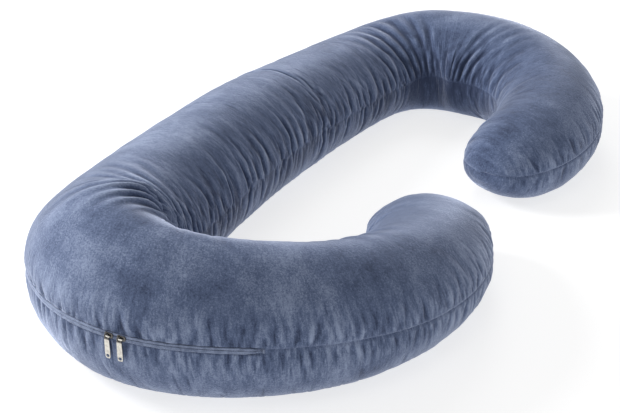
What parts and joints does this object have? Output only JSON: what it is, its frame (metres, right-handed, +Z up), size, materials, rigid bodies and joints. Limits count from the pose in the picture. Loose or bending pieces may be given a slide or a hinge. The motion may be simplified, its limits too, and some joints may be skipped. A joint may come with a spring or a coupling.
{
  "type": "body pillow",
  "caption": "C-shaped velvet body pillow lying flat: a filled tube with a straight back, two hooked arms and a zip in the outer edge seam.",
  "frame": {"origin": "on the floor under the middle of the whole outline", "axes": "+Y along the back from the zipped hook to the far hook, +X from the back towards the mouth, +Z up from the floor"},
  "size_m": [0.6789, 1.4061, 0.2406],
  "materials": {
    "velvet": "short-pile slate blue velvet, mottled nap",
    "zip_tape": "folded slate blue edge with a stitch line",
    "nickel": "satin nickel, rubbed edges"
  },
  "bodies": {
    "root": {"pillow": "velvet", "zip_lip_upper": "zip_tape", "zip_lip_lower": "zip_tape", "zip_tack_near": "zip_tape", "zip_tack_spine": "zip_tape", "slider_left": "nickel", "slider_right": "nickel", "pull_left": "nickel", "pull_right": "nickel"}
  },
  "joints": []
}
